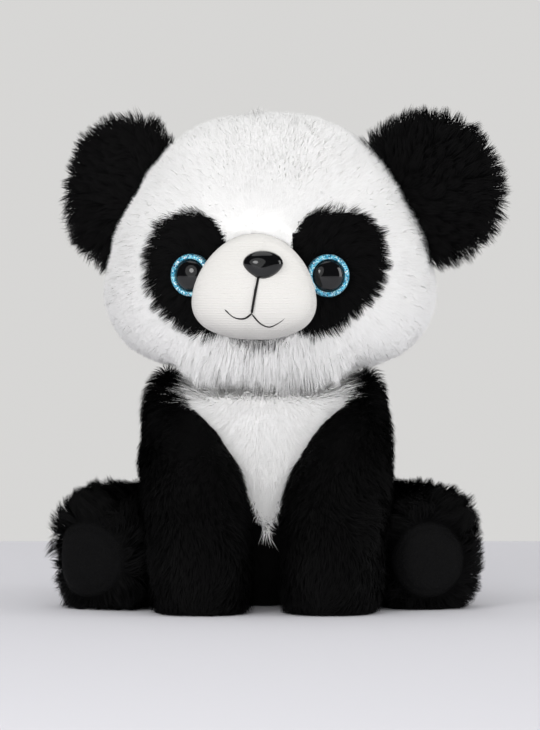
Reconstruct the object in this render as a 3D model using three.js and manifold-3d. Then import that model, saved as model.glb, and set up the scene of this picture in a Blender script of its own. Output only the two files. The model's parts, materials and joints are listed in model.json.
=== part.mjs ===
// A seated plush panda, 25 cm tall, sewn from pile fabric panels and filled with fibre.
// Millimetres, +Z up. It faces -Y and sits on z = 0, and the origin is under the middle of the seat.
// Left and right are the panda's own, so its left side is at +X.
import * as THREE from "three";
import { mergeVertices } from "three/addons/utils/BufferGeometryUtils.js";
import Module from "manifold-3d";

const wasm = await Module();
wasm.setup();

// ---------- driving dimensions ----------

const FABRIC = 3; // pile fabric, measured to the middle of its pile
const KNIT = 1.6; // the smooth fabric of the muzzle
const GAP = 0.3; // between pieces that are sewn together or rest on each other
const SIDES = { left: 1, right: -1 };

// A stuffed form has stations of [x, y, z, half width, half depth] along its middle. The width runs
// along "across", "roundness" is the exponent of its section, and "ends" those of its two ends.
const TORSO = {
  stations: [
    [0, 8, -14, 62, 52],
    [0, 8, 29, 57, 47],
    [0, 7, 59, 52, 43],
    [0, 4, 88, 49, 37],
    [0, 2, 114, 50, 36],
  ],
  across: [1, 0, 0],
  roundness: 2.4,
  ends: [3, 5],
  segments: 18,
  rows: 9,
};
const SEAT_SEAM_Z = 9; // the edge of the seat panel
const BACK_SEAM_Y = 24; // the side seams between the front and the back
const YOKE_SEAM_Z = 64; // the seam under the black yoke of the back
const CHEST_EDGE = [[45, 130], [42, 104], [30, 90], [15, 71], [6, 51]]; // x and z, down to its point
const CHEST_POINT_Z = 36;
const TORSO_MIDDLE_Y = 8;

const POUCH = {
  stations: [
    [0, 30, 4, 22, 14],
    [0, 30, 27, 22, 14],
  ],
  across: [1, 0, 0],
  roundness: 2,
  ends: [3, 3],
  segments: 14,
  rows: 6,
};
const LABEL = { reach: 16, thickness: 1, height: 14, x: -50, y: 24, z: 75 };

const TAIL = {
  stations: [
    [0, 44, 25, 13, 13],
    [0, 76, 28, 14, 14],
  ],
  across: [1, 0, 0],
  roundness: 2,
  ends: [2, 2.2],
  segments: 10,
  rows: 6,
};
const TAIL_GAP = 0.6;

const NECK = { y: 2, outer: 24, inner: 20.5, opening: 18, bottom: 114.4, top: 118.2 };

const HEAD = {
  stations: [
    [0, 0, 121, 95, 63],
    [0, 0, 140, 86, 59],
    [0, 0, 160, 83.5, 59],
    [0, 0, 185, 77.5, 59],
    [0, 0, 210, 66.5, 55],
    [0, 0, 232, 56, 48],
    [0, 0, 247, 50, 43],
  ],
  across: [1, 0, 0],
  roundness: 2.3,
  ends: [3, 2.7],
  segments: 20,
  rows: 10,
};
const HEAD_SHIFT = 2; // the head sits a little to the panda's left
const HEAD_YAW = -5.5; // degrees: and is turned a little to its right
const FACE_SEAM_Y = 4; // the seam from ear to ear

const MUZZLE = {
  stations: [
    [-0.5, -22, 163.5, 21, 24],
    [-0.5, -54, 164, 21.2, 25.5],
    [-1.2, -68, 164, 30, 26.5],
    [-0.7, -78, 164.5, 30, 25],
    [0, -88, 166, 26, 21.5],
  ],
  across: [1, 0, 0],
  roundness: 2.3,
  ends: [3, 2.5],
  taper: 0.24, // wider below than above
  segments: 16,
  rows: 8,
};
const MUZZLE_SEAM = { x: 0.8, z: 160, slant: 0.14 };

const EYE = { x: 34.8, z: 169.2, turn: 17, radius: 10.8, pupil: 8.2, ringRise: 1.9, rise: 4.4 };
// The outlines of the eye patches in x away from the middle and z. Their inner sides run on behind
// the muzzle.
const EYE_PATCHES = {
  left: [
    [22.5, 198], [37, 200], [53, 197], [60, 180], [57, 163],
    [45, 151], [31, 142.5], [16, 146], [14, 168], [16, 187],
  ],
  right: [
    [21, 196.5], [30, 199.5], [46, 196.5], [54, 185], [54.5, 167],
    [49, 153.5], [36, 144.5], [28, 141.5], [15, 147], [14, 168], [16.5, 187],
  ],
};
const NOSE = { x: 4.6, z: 176, pitch: 12, halfWidth: 10, halfHeight: 7, rise: 5.5 };
const SHANK = { radius: 2.4, length: 11 };
const WASHER = { radius: 7.5, thickness: 1.6 };
const EYE_WASHER_DEPTH = FABRIC + 2; // behind the base of the eye
const NOSE_WASHER_DEPTH = KNIT + 4; // and of the nose

// The thread of the mouth in x and z: down the muzzle's seam, then the two halves of the smile.
const MOUTH_LINES = [
  [[2.6, 169.6], [1, 161], [-0.8, 151]],
  [[-14.5, 153.4], [-9.5, 149.2], [-4.5, 148.6], [-0.8, 151]],
  [[-0.8, 151], [3.4, 146], [7.6, 144.3], [12, 146.2], [16, 149.2]],
];
const THREAD_RADIUS = 0.9;

// An ear in its own frame: it reaches along +X from the chord where it is sewn on, and faces -Y.
const EAR = {
  stations: [
    [-15, 0, 0, 36, 8.5],
    [16, 0, 0, 36.5, 8.5],
    [49.5, 0, 0, 33, 8],
  ],
  across: [0, 0, 1],
  roundness: 2.1,
  ends: [2.4, 2.4],
  segments: 14,
  rows: 7,
};
const EAR_GAP = 2.6; // to the head, so that the ear can fold about its chord
const EARS = {
  left: { chord: [66.5, 3, 206], lean: 21, fold: 0 },
  right: { chord: [-62, 4.5, 207.5], lean: 9, fold: 30 },
};

// The panda's left arm and leg. The right ones mirror them.
const ARM = {
  stations: [
    [50, -3, 118, 11.5, 14],
    [50.5, -15, 98, 13, 16],
    [42, -38, 76, 22, 21],
    [36, -58, 53, 26, 23],
    [33, -70, 24, 25.5, 24],
    [32, -74, -6, 25, 22],
  ],
  across: [1, 0, 0],
  roundness: 2.3,
  ends: [2.6, 6],
  segments: 12,
  rows: 9,
};
const ARM_SEAM = { x: 40, z: 59, slant: 0.195 };
const SHOULDER = { y: -12, z: 101, radius: 20.5, inner: 26, outer: 70 };

const LEG = {
  stations: [
    [24, 14, 29, 24, 22],
    [46, -1, 29, 27, 23],
    [65, -18, 28.5, 29, 24],
    [79, -38, 28, 30.5, 24.5],
    [84.5, -58, 28, 30.5, 24.5],
  ],
  across: [0, 0, 1],
  roundness: 2.6,
  ends: [2.6, 5],
  segments: 12,
  rows: 9,
};
const LEG_SEAM_Z = 28.5;
const HIP = { x: 43, y: 1, radius: 25.4, top: 59 };
const SOLE = { halfWidth: 18, halfHeight: 18.8 };
const SOLES = {
  left: { x: 82.8, y: -58, z: 25.5, turn: 14 },
  right: { x: -90, y: -53, z: 25.5, turn: -36 }, // this foot points further out
};
const LIMB_CLEARANCE = 1.4; // between a limb and the hollow that it moves in

const BIG = 1000; // larger than the panda

const MATERIALS = {
  whitePlush: { color: 0xeeedea, roughness: 0.95 },
  blackPlush: { color: 0x151516, roughness: 0.95 },
  whiteKnit: { color: 0xe9e6e0, roughness: 0.9 },
  blackKnit: { color: 0x111112, roughness: 0.85 },
  fibre: { color: 0xf4f3ef, roughness: 1 },
  canvas: { color: 0xd9d4c8, roughness: 0.9 },
  blackGloss: { color: 0x060607, roughness: 0.12 },
  glitter: { color: 0x4fb4d6, roughness: 0.3, metalness: 0.4 },
  washer: { color: 0xdadada, roughness: 0.5 },
  thread: { color: 0x101010, roughness: 0.8 },
  label: { color: 0xf6f6f4, roughness: 0.7 },
};
for (const [name, values] of Object.entries(MATERIALS)) {
  MATERIALS[name] = new THREE.MeshStandardMaterial({ metalness: 0, ...values });
}

// ---------- solids ----------

function solidOf(geometry) {
  const bare = geometry.clone();
  bare.deleteAttribute("normal");
  bare.deleteAttribute("uv");
  const merged = mergeVertices(bare, 1e-4);
  return new wasm.Manifold(
    new wasm.Mesh({
      numProp: 3,
      vertProperties: merged.getAttribute("position").array,
      triVerts: new Uint32Array(merged.index.array),
    }),
  );
}

function piece(name, solid, material) {
  const { vertProperties, triVerts } = solid.getMesh();
  const geometry = new THREE.BufferGeometry();
  geometry.setAttribute("position", new THREE.BufferAttribute(vertProperties, 3));
  geometry.setIndex(new THREE.BufferAttribute(triVerts, 1));
  geometry.computeVertexNormals();
  const mesh = new THREE.Mesh(geometry, material);
  mesh.name = name;
  return mesh;
}

function group(...children) {
  return new THREE.Group().add(...children);
}

// The place of something at a point, turned by angles in degrees about X, Y and Z.
function place(point, turns = [0, 0, 0]) {
  const euler = new THREE.Euler(...turns.map((turn) => THREE.MathUtils.degToRad(turn)));
  const matrix = new THREE.Matrix4().makeRotationFromEuler(euler);
  return matrix.setPosition(...point);
}

const UPRIGHT = [90, 0, 0]; // turns a lathe's or a cylinder's axis from Y to Z
const SIDEWAYS = [0, 0, 90]; // and to X

// The cosine or sine of an angle on a section that is squarer than an ellipse.
function squared(value, exponent) {
  return Math.sign(value) * Math.abs(value) ** (2 / exponent);
}

// A stuffed form, with its surface moved inwards by inset, or outwards if that is negative.
function stuffedGeometry(form, inset) {
  const centres = new THREE.CatmullRomCurve3(
    form.stations.map(([x, y, z]) => new THREE.Vector3(x, y, z)),
  );
  const sizes = new THREE.CatmullRomCurve3(
    form.stations.map(([, , , width, depth]) => new THREE.Vector3(width, depth, 0)),
  );
  const length = centres.getLength();
  const across = new THREE.Vector3(...form.across);
  const geometry = new THREE.SphereGeometry(1, form.segments, form.rows);
  const position = geometry.getAttribute("position");
  for (let i = 0; i < position.count; i += 1) {
    const along = THREE.MathUtils.clamp(-position.getY(i), -1, 1);
    const turn = Math.atan2(position.getX(i), position.getZ(i));
    const exponent = form.ends[along < 0 ? 0 : 1];
    const cap = (1 - Math.abs(along) ** exponent) ** (1 / exponent);
    const distance = (along * (length / 2 - inset)) / length + 0.5;
    const onCurve = THREE.MathUtils.clamp(distance, 0, 1);
    const size = sizes.getPoint(onCurve);
    const tangent = centres.getTangent(onCurve);
    const side = across.clone().addScaledVector(tangent, -across.dot(tangent)).normalize();
    const front = new THREE.Vector3().crossVectors(side, tangent);
    const sideways = cap * squared(Math.cos(turn), form.roundness);
    const forwards = cap * squared(Math.sin(turn), form.roundness);
    const widening = 1 + (form.taper ?? 0) * forwards;
    const point = centres
      .getPoint(onCurve)
      .addScaledVector(tangent, (distance - onCurve) * length)
      .addScaledVector(side, (size.x - inset) * sideways * widening)
      .addScaledVector(front, (size.y - inset) * forwards);
    position.setXYZ(i, point.x, point.y, point.z);
  }
  return geometry;
}

function stuffed(form, inset = 0, matrix = new THREE.Matrix4()) {
  return solidOf(stuffedGeometry(form, inset).applyMatrix4(matrix));
}

function mirrored(form, side) {
  return { ...form, stations: form.stations.map(([x, ...rest]) => [side * x, ...rest]) };
}

// Everything on the side of a plane that its normal points to.
function halfSpace(point, normal) {
  const direction = new THREE.Vector3(...normal).normalize();
  const turn = new THREE.Quaternion().setFromUnitVectors(new THREE.Vector3(0, 0, 1), direction);
  const geometry = new THREE.BoxGeometry(BIG, BIG, BIG).applyQuaternion(turn);
  const centre = new THREE.Vector3(...point).addScaledVector(direction, BIG / 2);
  return solidOf(geometry.translate(centre.x, centre.y, centre.z));
}

function above(z) {
  return halfSpace([0, 0, z], [0, 0, 1]);
}

// A solid cut along a plane: the part that the normal points to, then the other part.
function splitAt(solid, point, normal) {
  const direction = new THREE.Vector3(...normal).normalize();
  const origin = new THREE.Vector3(...point);
  const onThis = origin.clone().addScaledVector(direction, GAP / 2);
  const onThat = origin.clone().addScaledVector(direction, -GAP / 2);
  return [
    solid.intersect(halfSpace(onThis.toArray(), direction.toArray())),
    solid.intersect(halfSpace(onThat.toArray(), direction.clone().negate().toArray())),
  ];
}

function cylinder(radius, length, matrix, segments = 20) {
  const geometry = new THREE.CylinderGeometry(radius, radius, length, segments);
  return solidOf(geometry.applyMatrix4(matrix));
}

// A solid turned about Y, from the radius and the height of each point of its outline.
function lathe(outline, segments, matrix) {
  const points = outline.map(([radius, height]) => new THREE.Vector2(radius, height));
  return solidOf(new THREE.LatheGeometry(points, segments).applyMatrix4(matrix));
}

// A prism of an outline in x and z, running along Y.
function prism(outline, fromY, toY, matrix = new THREE.Matrix4()) {
  const shape = new THREE.Shape(outline.map(([x, z]) => new THREE.Vector2(x, z)));
  const geometry = new THREE.ExtrudeGeometry(shape, { depth: toY - fromY, bevelEnabled: false });
  geometry.rotateX(Math.PI / 2).translate(0, toY, 0);
  return solidOf(geometry.applyMatrix4(matrix));
}

// A smooth closed outline through a few corners, moved outwards by grow.
function smoothOutline(corners, count, grow) {
  const curve = new THREE.CatmullRomCurve3(
    corners.map(([x, z]) => new THREE.Vector3(x, z, 0)),
    true,
  );
  const outwards = THREE.ShapeUtils.isClockWise(curve.getPoints(count)) ? -grow : grow;
  return Array.from({ length: count }, (_, i) => {
    const point = curve.getPointAt(i / count);
    const tangent = curve.getTangentAt(i / count);
    return [point.x + outwards * tangent.y, point.y - outwards * tangent.x];
  });
}

function oval(halfWidth, halfHeight, count) {
  return Array.from({ length: count }, (_, i) => {
    const turn = (i / count) * 2 * Math.PI;
    return [halfWidth * Math.cos(turn), halfHeight * Math.sin(turn)];
  });
}

// How far forward a form's surface lies at x and z.
function frontOf(form, x, z) {
  const probe = new THREE.Mesh(stuffedGeometry(form, 0));
  const ray = new THREE.Raycaster(new THREE.Vector3(x, -BIG, z), new THREE.Vector3(0, 1, 0));
  return ray.intersectObject(probe)[0].point.y;
}

// ---------- torso ----------

// The hollows that the limbs sit and move in.
function limbRoom(inset) {
  const rooms = Object.values(SIDES).map((side) => {
    const innerX = SHOULDER.inner - inset;
    const middleX = side * ((innerX + SHOULDER.outer) / 2);
    const shoulder = cylinder(
      SHOULDER.radius + inset,
      SHOULDER.outer - innerX,
      place([middleX, SHOULDER.y, SHOULDER.z], SIDEWAYS),
    );
    const hip = cylinder(
      HIP.radius + inset,
      HIP.top + inset,
      place([side * HIP.x, HIP.y, (HIP.top + inset) / 2 - 1], UPRIGHT),
    );
    return shoulder
      .add(hip)
      .add(stuffed(mirrored(ARM, side), -LIMB_CLEARANCE - inset))
      .add(stuffed(mirrored(LEG, side), -LIMB_CLEARANCE - inset));
  });
  return rooms[0].add(rooms[1]);
}

function torsoSolid(inset) {
  return stuffed(TORSO, inset).subtract(limbRoom(inset)).intersect(above(inset));
}

function chestOutline(grow) {
  const left = CHEST_EDGE.map(([x, z]) => [x + grow, z]);
  const right = left.map(([x, z]) => [-x, z]).reverse();
  return [...left, [0, CHEST_POINT_Z - 2 * grow], ...right];
}

// The filling has a pocket for the pouch, open to the seat below it.
function torsoStuffing() {
  const [[x, y, bottom, halfWidth, halfDepth], [, , top]] = POUCH.stations;
  const outline = oval(halfWidth + GAP, halfDepth + GAP, POUCH.segments);
  const pocket = prism(outline, 0, (bottom + top) / 2, place([x, y, 0], [90, 0, 0]));
  return torsoSolid(FABRIC + GAP).subtract(stuffed(POUCH, -GAP)).subtract(pocket);
}

function careLabel() {
  const geometry = new THREE.BoxGeometry(LABEL.reach, LABEL.thickness, LABEL.height);
  geometry.translate(LABEL.x, LABEL.y, LABEL.z);
  return solidOf(geometry).subtract(stuffed(TORSO, -GAP));
}

function torso() {
  const neckOpening = cylinder(NECK.opening, NECK.outer, place([0, NECK.y, NECK.bottom], UPRIGHT));
  const skin = torsoSolid(0).subtract(torsoSolid(FABRIC)).subtract(neckOpening);
  const [body, seat] = splitAt(skin, [0, 0, SEAT_SEAM_Z], [0, 0, 1]);
  const [back, front] = splitAt(body, [0, BACK_SEAM_Y, 0], [0, 1, 0]);
  const [yoke, lowerBack] = splitAt(back, [0, 0, YOKE_SEAM_Z], [0, 0, 1]);
  const chest = front.intersect(prism(chestOutline(0), -BIG / 2, TORSO_MIDDLE_Y));
  const flanks = front.subtract(prism(chestOutline(GAP), -BIG / 2, TORSO_MIDDLE_Y + GAP));
  const [chestLeft, chestRight] = splitAt(chest, [0, 0, 0], [1, 0, 0]);
  const [flankLeft, flankRight] = splitAt(flanks, [0, 0, 0], [1, 0, 0]);
  return group(
    piece("chest_panel_left", chestLeft, MATERIALS.whitePlush),
    piece("chest_panel_right", chestRight, MATERIALS.whitePlush),
    piece("flank_panel_left", flankLeft, MATERIALS.blackPlush),
    piece("flank_panel_right", flankRight, MATERIALS.blackPlush),
    piece("back_yoke", yoke, MATERIALS.blackPlush),
    piece("lower_back_panel", lowerBack, MATERIALS.whitePlush),
    piece("seat_panel", seat, MATERIALS.blackPlush),
    piece("torso_stuffing", torsoStuffing(), MATERIALS.fibre),
    piece("pellet_pouch", stuffed(POUCH), MATERIALS.canvas),
    piece("care_label", careLabel(), MATERIALS.label),
  );
}

function tail() {
  const body = stuffed(TORSO, -TAIL_GAP);
  const cover = stuffed(TAIL).subtract(stuffed(TAIL, FABRIC)).subtract(body);
  const filling = stuffed(TAIL, FABRIC + GAP).subtract(body);
  return group(
    piece("tail_cover", cover, MATERIALS.whitePlush),
    piece("tail_stuffing", filling, MATERIALS.fibre),
  );
}

function neck() {
  const height = NECK.top - NECK.bottom;
  const middle = place([0, NECK.y, NECK.bottom + height / 2], UPRIGHT);
  const gusset = cylinder(NECK.outer, height, middle).subtract(cylinder(NECK.inner, BIG, middle));
  return group(
    piece("neck_gusset", gusset, MATERIALS.whitePlush),
    piece("neck_stuffing", cylinder(NECK.inner - GAP, height, middle), MATERIALS.fibre),
  );
}

// ---------- head ----------

// Where a moulded eye or nose sits on its fabric. Its own +Y points outwards there.
function eyePlace(side) {
  const point = [side * EYE.x, frontOf(HEAD, side * EYE.x, EYE.z), EYE.z];
  return place(point, [0, 0, side * EYE.turn]).multiply(place([0, 0, 0], [180, 0, 0]));
}

function nosePlace() {
  const point = [NOSE.x, frontOf(MUZZLE, NOSE.x, NOSE.z), NOSE.z];
  return place(point, [180 - NOSE.pitch, 0, 0]);
}

// A quarter of an ellipse, from its radius up to its rise on the axis.
function domeOutline(radius, rise, steps) {
  return Array.from({ length: steps + 1 }, (_, i) => {
    const turn = (i / steps) * (Math.PI / 2);
    return i === steps ? [0, rise] : [radius * Math.cos(turn), rise * Math.sin(turn)];
  });
}

// A dome with the shank that holds it on, both on its own Y axis.
function shankOutline() {
  return [[0, -SHANK.length], [SHANK.radius, -SHANK.length], [SHANK.radius, 0]];
}

function eyeDome(matrix) {
  return lathe([...shankOutline(), ...domeOutline(EYE.pupil, EYE.rise, 4)], 16, matrix);
}

function eyeRing(matrix) {
  const inner = EYE.pupil + GAP;
  const crest = (inner + EYE.radius) / 2;
  const outline = [
    [inner, 0],
    [EYE.radius, 0],
    [EYE.radius - GAP, EYE.ringRise / 2],
    [crest, EYE.ringRise],
    [inner, EYE.ringRise],
    [inner, 0],
  ];
  return lathe(outline, 20, matrix);
}

function nose(matrix) {
  const squash = new THREE.Matrix4().makeScale(1, 1, NOSE.halfHeight / NOSE.halfWidth);
  const dome = lathe(
    [[0, 0], ...domeOutline(NOSE.halfWidth, NOSE.rise, 4)],
    16,
    matrix.clone().multiply(squash),
  );
  return dome.add(lathe([...shankOutline(), [0, GAP]], 10, matrix));
}

function washer(matrix, behind) {
  const inner = SHANK.radius + GAP;
  const back = -behind - WASHER.thickness;
  const outline = [
    [inner, back],
    [WASHER.radius, back],
    [WASHER.radius, -behind],
    [inner, -behind],
    [inner, back],
  ];
  return lathe(outline, 14, matrix);
}

// The room that a moulded piece takes in the fabric and the stuffing behind it.
function mouldedRoom(matrix, seatRadius) {
  const at = (height) => matrix.clone().multiply(place([0, height, 0]));
  const depth = SHANK.length + GAP;
  const seat = cylinder(seatRadius + GAP, 2 * depth, at(depth - GAP));
  return seat.add(cylinder(SHANK.radius + GAP, 2 * depth, at(0), 10));
}

function washerRoom(matrix, behind) {
  const depth = behind + WASHER.thickness + GAP;
  return cylinder(WASHER.radius + GAP, 2 * depth, matrix, 14);
}

function eyeRoom(side) {
  return mouldedRoom(eyePlace(side), EYE.radius);
}

function headSkin() {
  const chin = [-HEAD_SHIFT, NECK.y, HEAD.stations[0][2]];
  const opening = cylinder(NECK.opening, NECK.outer, place(chin, UPRIGHT));
  return stuffed(HEAD)
    .subtract(stuffed(HEAD, FABRIC))
    .subtract(opening)
    .subtract(stuffed(MUZZLE, -GAP));
}

function facePanels() {
  const [back, front] = splitAt(headSkin(), [0, FACE_SEAM_Y, 0], [0, 1, 0]);
  const [backLeft, backRight] = splitAt(back, [0, 0, 0], [1, 0, 0]);
  let face = front;
  const patches = Object.entries(SIDES).map(([name, side]) => {
    const corners = EYE_PATCHES[name].map(([x, z]) => [side * x, z]);
    const outline = (grow) => smoothOutline(corners, 18, grow);
    face = face.subtract(prism(outline(GAP), -BIG / 2, FACE_SEAM_Y));
    const patch = front.intersect(prism(outline(0), -BIG / 2, FACE_SEAM_Y));
    return piece(`eye_patch_${name}`, patch.subtract(eyeRoom(side)), MATERIALS.blackPlush);
  });
  const [faceLeft, faceRight] = splitAt(face, [0, 0, 0], [1, 0, 0]);
  return group(
    piece("face_panel_left", faceLeft, MATERIALS.whitePlush),
    piece("face_panel_right", faceRight, MATERIALS.whitePlush),
    piece("head_back_left", backLeft, MATERIALS.whitePlush),
    piece("head_back_right", backRight, MATERIALS.whitePlush),
    ...patches,
  );
}

function headStuffing() {
  let filling = stuffed(HEAD, FABRIC + GAP);
  for (const side of Object.values(SIDES)) {
    filling = filling
      .subtract(eyeRoom(side))
      .subtract(washerRoom(eyePlace(side), EYE_WASHER_DEPTH));
  }
  return filling.subtract(mouldedRoom(nosePlace(), SHANK.radius));
}

function mouthStitch() {
  const round = oval(THREAD_RADIUS, THREAD_RADIUS, 5).map(([x, y]) => new THREE.Vector2(x, y));
  const section = new THREE.Shape(round);
  const tubes = MOUTH_LINES.map((line) => {
    const flat = new THREE.CatmullRomCurve3(line.map(([x, z]) => new THREE.Vector3(x, 0, z)));
    const onMuzzle = flat
      .getSpacedPoints(6)
      .map(({ x, z }) => new THREE.Vector3(x, frontOf(MUZZLE, x, z) - GAP, z));
    const path = new THREE.CatmullRomCurve3(onMuzzle);
    return solidOf(new THREE.ExtrudeGeometry(section, { extrudePath: path, steps: 8 }));
  });
  return tubes[0].add(tubes[1]).add(tubes[2]).subtract(stuffed(MUZZLE, -GAP));
}

function muzzle() {
  const matrix = nosePlace();
  const room = mouldedRoom(matrix, NOSE.halfWidth);
  const cover = stuffed(MUZZLE)
    .subtract(stuffed(MUZZLE, KNIT))
    .subtract(stuffed(HEAD, FABRIC))
    .subtract(room);
  const seam = [MUZZLE_SEAM.x, 0, MUZZLE_SEAM.z];
  const [left, right] = splitAt(cover, seam, [1, 0, -MUZZLE_SEAM.slant]);
  const filling = stuffed(MUZZLE, KNIT + GAP)
    .subtract(stuffed(HEAD, FABRIC))
    .subtract(room)
    .subtract(washerRoom(matrix, NOSE_WASHER_DEPTH));
  return group(
    piece("muzzle_panel_left", left, MATERIALS.whiteKnit),
    piece("muzzle_panel_right", right, MATERIALS.whiteKnit),
    piece("muzzle_stuffing", filling, MATERIALS.fibre),
    piece("nose", nose(matrix), MATERIALS.blackGloss),
    piece("nose_washer", washer(matrix, NOSE_WASHER_DEPTH), MATERIALS.washer),
    piece("mouth_stitch", mouthStitch(), MATERIALS.thread),
  );
}

function eyes() {
  const pieces = Object.entries(SIDES).flatMap(([name, side]) => {
    const matrix = eyePlace(side);
    return [
      piece(`eye_dome_${name}`, eyeDome(matrix), MATERIALS.blackGloss),
      piece(`eye_ring_${name}`, eyeRing(matrix), MATERIALS.glitter),
      piece(`eye_washer_${name}`, washer(matrix, EYE_WASHER_DEPTH), MATERIALS.washer),
    ];
  });
  return group(...pieces);
}

function ear(name) {
  const { chord, lean, fold } = EARS[name];
  const side = SIDES[name];
  const turn = side > 0 ? fold : 180 - fold;
  const matrix = place(chord, [0, -side * lean, 0]).multiply(place([0, 0, 0], [0, 0, turn]));
  const head = stuffed(HEAD, -EAR_GAP, matrix.clone().invert());
  const cover = stuffed(EAR).subtract(stuffed(EAR, FABRIC)).subtract(head);
  const filling = stuffed(EAR, FABRIC + GAP).subtract(head);
  const [oneSide, otherSide] = splitAt(cover, [0, 0, 0], [0, 1, 0]);
  const [front, back] = side > 0 ? [otherSide, oneSide] : [oneSide, otherSide];
  const parts = group(
    piece(`ear_front_${name}`, front, MATERIALS.blackPlush),
    piece(`ear_back_${name}`, back, MATERIALS.blackPlush),
    piece(`ear_stuffing_${name}`, filling, MATERIALS.fibre),
  );
  parts.applyMatrix4(matrix);
  return parts;
}

function head() {
  const parts = group(
    facePanels(),
    piece("head_stuffing", headStuffing(), MATERIALS.fibre),
    muzzle(),
    eyes(),
    ear("left"),
    ear("right"),
  );
  parts.rotation.z = THREE.MathUtils.degToRad(HEAD_YAW);
  parts.position.x = HEAD_SHIFT;
  return parts;
}

// ---------- limbs ----------

// A limb's skin and filling, flat where they rest on z = 0.
function limbSkin(form) {
  const inside = stuffed(form, FABRIC).intersect(above(FABRIC));
  return stuffed(form).intersect(above(0)).subtract(inside);
}

function limbStuffing(form) {
  return stuffed(form, FABRIC + GAP).intersect(above(FABRIC + GAP));
}

function arm(name) {
  const side = SIDES[name];
  const form = mirrored(ARM, side);
  const seam = [side * ARM_SEAM.x, 0, ARM_SEAM.z];
  const [outer, inner] = splitAt(limbSkin(form), seam, [side, 0, -ARM_SEAM.slant]);
  return group(
    piece(`arm_outer_${name}`, outer, MATERIALS.blackPlush),
    piece(`arm_inner_${name}`, inner, MATERIALS.blackPlush),
    piece(`arm_stuffing_${name}`, limbStuffing(form), MATERIALS.fibre),
  );
}

function leg(name) {
  const side = SIDES[name];
  const form = mirrored(LEG, side);
  const { x, y, z, turn } = SOLES[name];
  const sole = (grow) =>
    prism(
      oval(SOLE.halfWidth + grow, SOLE.halfHeight + grow, 16),
      -SOLE.halfWidth,
      SOLE.halfWidth,
      place([x, y, z], [0, 0, turn]),
    );
  const skin = limbSkin(form);
  const [upper, lower] = splitAt(skin.subtract(sole(GAP)), [0, 0, LEG_SEAM_Z], [0, 0, 1]);
  return group(
    piece(`leg_upper_${name}`, upper, MATERIALS.blackPlush),
    piece(`leg_lower_${name}`, lower, MATERIALS.blackPlush),
    piece(`foot_pad_${name}`, skin.intersect(sole(0)), MATERIALS.blackKnit),
    piece(`leg_stuffing_${name}`, limbStuffing(form), MATERIALS.fibre),
  );
}

const limbs = Object.keys(SIDES).flatMap((name) => [arm(name), leg(name)]);
const panda = group(torso(), tail(), neck(), head(), ...limbs);

export default panda;
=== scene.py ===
"""A seated plush panda: stuffed forms, each covered in panels of long, short or smooth pile."""

import json
import math

import bpy
import numpy as np
from mathutils import Matrix, Vector
from mathutils.bvhtree import BVHTree
from mathutils.kdtree import KDTree


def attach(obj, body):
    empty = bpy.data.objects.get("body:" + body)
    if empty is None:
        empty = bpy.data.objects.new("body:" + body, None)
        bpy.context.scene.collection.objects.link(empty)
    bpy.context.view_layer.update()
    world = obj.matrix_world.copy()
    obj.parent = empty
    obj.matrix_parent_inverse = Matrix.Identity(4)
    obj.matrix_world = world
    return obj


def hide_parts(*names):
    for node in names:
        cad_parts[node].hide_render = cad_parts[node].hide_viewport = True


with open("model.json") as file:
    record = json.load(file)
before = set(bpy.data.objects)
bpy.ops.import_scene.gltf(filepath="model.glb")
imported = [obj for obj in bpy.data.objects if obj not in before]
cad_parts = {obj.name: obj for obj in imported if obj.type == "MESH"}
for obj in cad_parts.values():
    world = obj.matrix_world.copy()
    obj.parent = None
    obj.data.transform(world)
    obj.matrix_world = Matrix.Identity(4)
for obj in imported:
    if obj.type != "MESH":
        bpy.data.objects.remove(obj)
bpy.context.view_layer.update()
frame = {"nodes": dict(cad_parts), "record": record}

MM = 0.001
SIDES = {"left": 1, "right": -1}
UP = np.array([0.0, 0.0, 1.0])

# ---------- the stuffed forms, as in the part: stations of x, y, z, half width, half depth in mm ----------

TORSO = {
    "stations": [
        (0, 8, -14, 62, 52),
        (0, 8, 29, 57, 47),
        (0, 7, 59, 52, 43),
        (0, 4, 88, 49, 37),
        (0, 2, 114, 50, 36),
    ],
    "across": (1, 0, 0),
    "roundness": 2.4,
    "ends": (3, 5),
}
TAIL = {
    "stations": [(0, 44, 25, 13, 13), (0, 76, 28, 14, 14)],
    "across": (1, 0, 0),
    "roundness": 2,
    "ends": (2, 2.2),
}
NECK = {
    "stations": [(0, 2, 113.5, 25.5, 25.5), (0, 2, 119.5, 25.5, 25.5)],
    "across": (1, 0, 0),
    "roundness": 2,
    "ends": (8, 8),
}
HEAD = {
    "stations": [
        (0, 0, 121, 95, 63),
        (0, 0, 140, 86, 59),
        (0, 0, 160, 83.5, 59),
        (0, 0, 185, 77.5, 59),
        (0, 0, 210, 66.5, 55),
        (0, 0, 232, 56, 48),
        (0, 0, 247, 50, 43),
    ],
    "across": (1, 0, 0),
    "roundness": 2.3,
    "ends": (3, 2.7),
}
MUZZLE = {
    "stations": [
        (-0.5, -22, 163.5, 21, 24),
        (-0.5, -54, 164, 21.2, 25.5),
        (-1.2, -68, 164, 30, 26.5),
        (-0.7, -78, 164.5, 30, 25),
        (0, -88, 166, 26, 21.5),
    ],
    "across": (1, 0, 0),
    "roundness": 2.3,
    "ends": (3, 2.5),
    "taper": 0.24,
}
EAR = {
    "stations": [(-15, 0, 0, 36, 8.5), (16, 0, 0, 36.5, 8.5), (49.5, 0, 0, 33, 8)],
    "across": (0, 0, 1),
    "roundness": 2.1,
    "ends": (2.4, 2.4),
}
ARM = {
    "stations": [
        (50, -3, 118, 11.5, 14),
        (50.5, -15, 98, 13, 16),
        (42, -38, 76, 22, 21),
        (36, -58, 53, 26, 23),
        (33, -70, 24, 25.5, 24),
        (32, -74, -6, 25, 22),
    ],
    "across": (1, 0, 0),
    "roundness": 2.3,
    "ends": (2.6, 6),
}
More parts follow.
